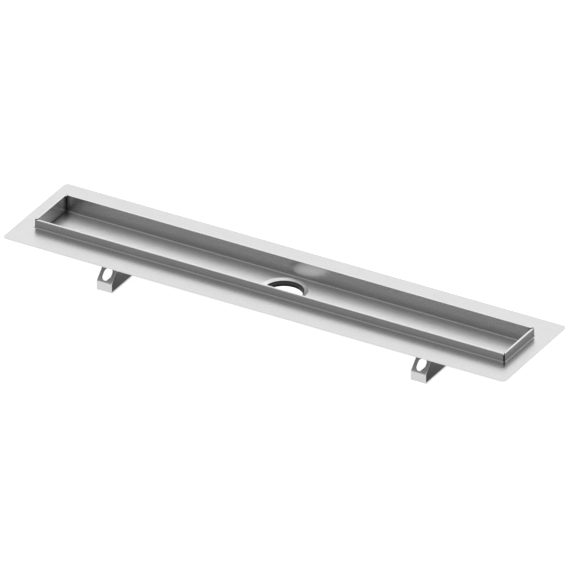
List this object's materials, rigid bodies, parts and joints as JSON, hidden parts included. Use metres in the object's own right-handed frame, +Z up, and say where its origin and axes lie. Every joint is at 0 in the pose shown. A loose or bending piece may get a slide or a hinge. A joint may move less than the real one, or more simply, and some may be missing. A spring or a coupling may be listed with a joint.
{
  "type": "linear shower drain",
  "caption": "Long stainless shower drain channel: folded trough with a hemmed rim, a wide sealing flange, a drawn outlet collar, and bent strap feet with slotted holes.",
  "frame": {"origin": "on the ground under the feet, below the middle of the outlet", "axes": "+X along the channel, +Y across it, +Z up"},
  "size_m": [0.7, 0.153, 0.0613],
  "materials": {
    "body_sheet": "fine satin stainless sheet",
    "strap_strip": "mill finish stainless strip"
  },
  "bodies": {
    "root": {"channel_body": "body_sheet", "foot_strap_left": "strap_strip", "foot_strap_right": "strap_strip"}
  },
  "joints": []
}
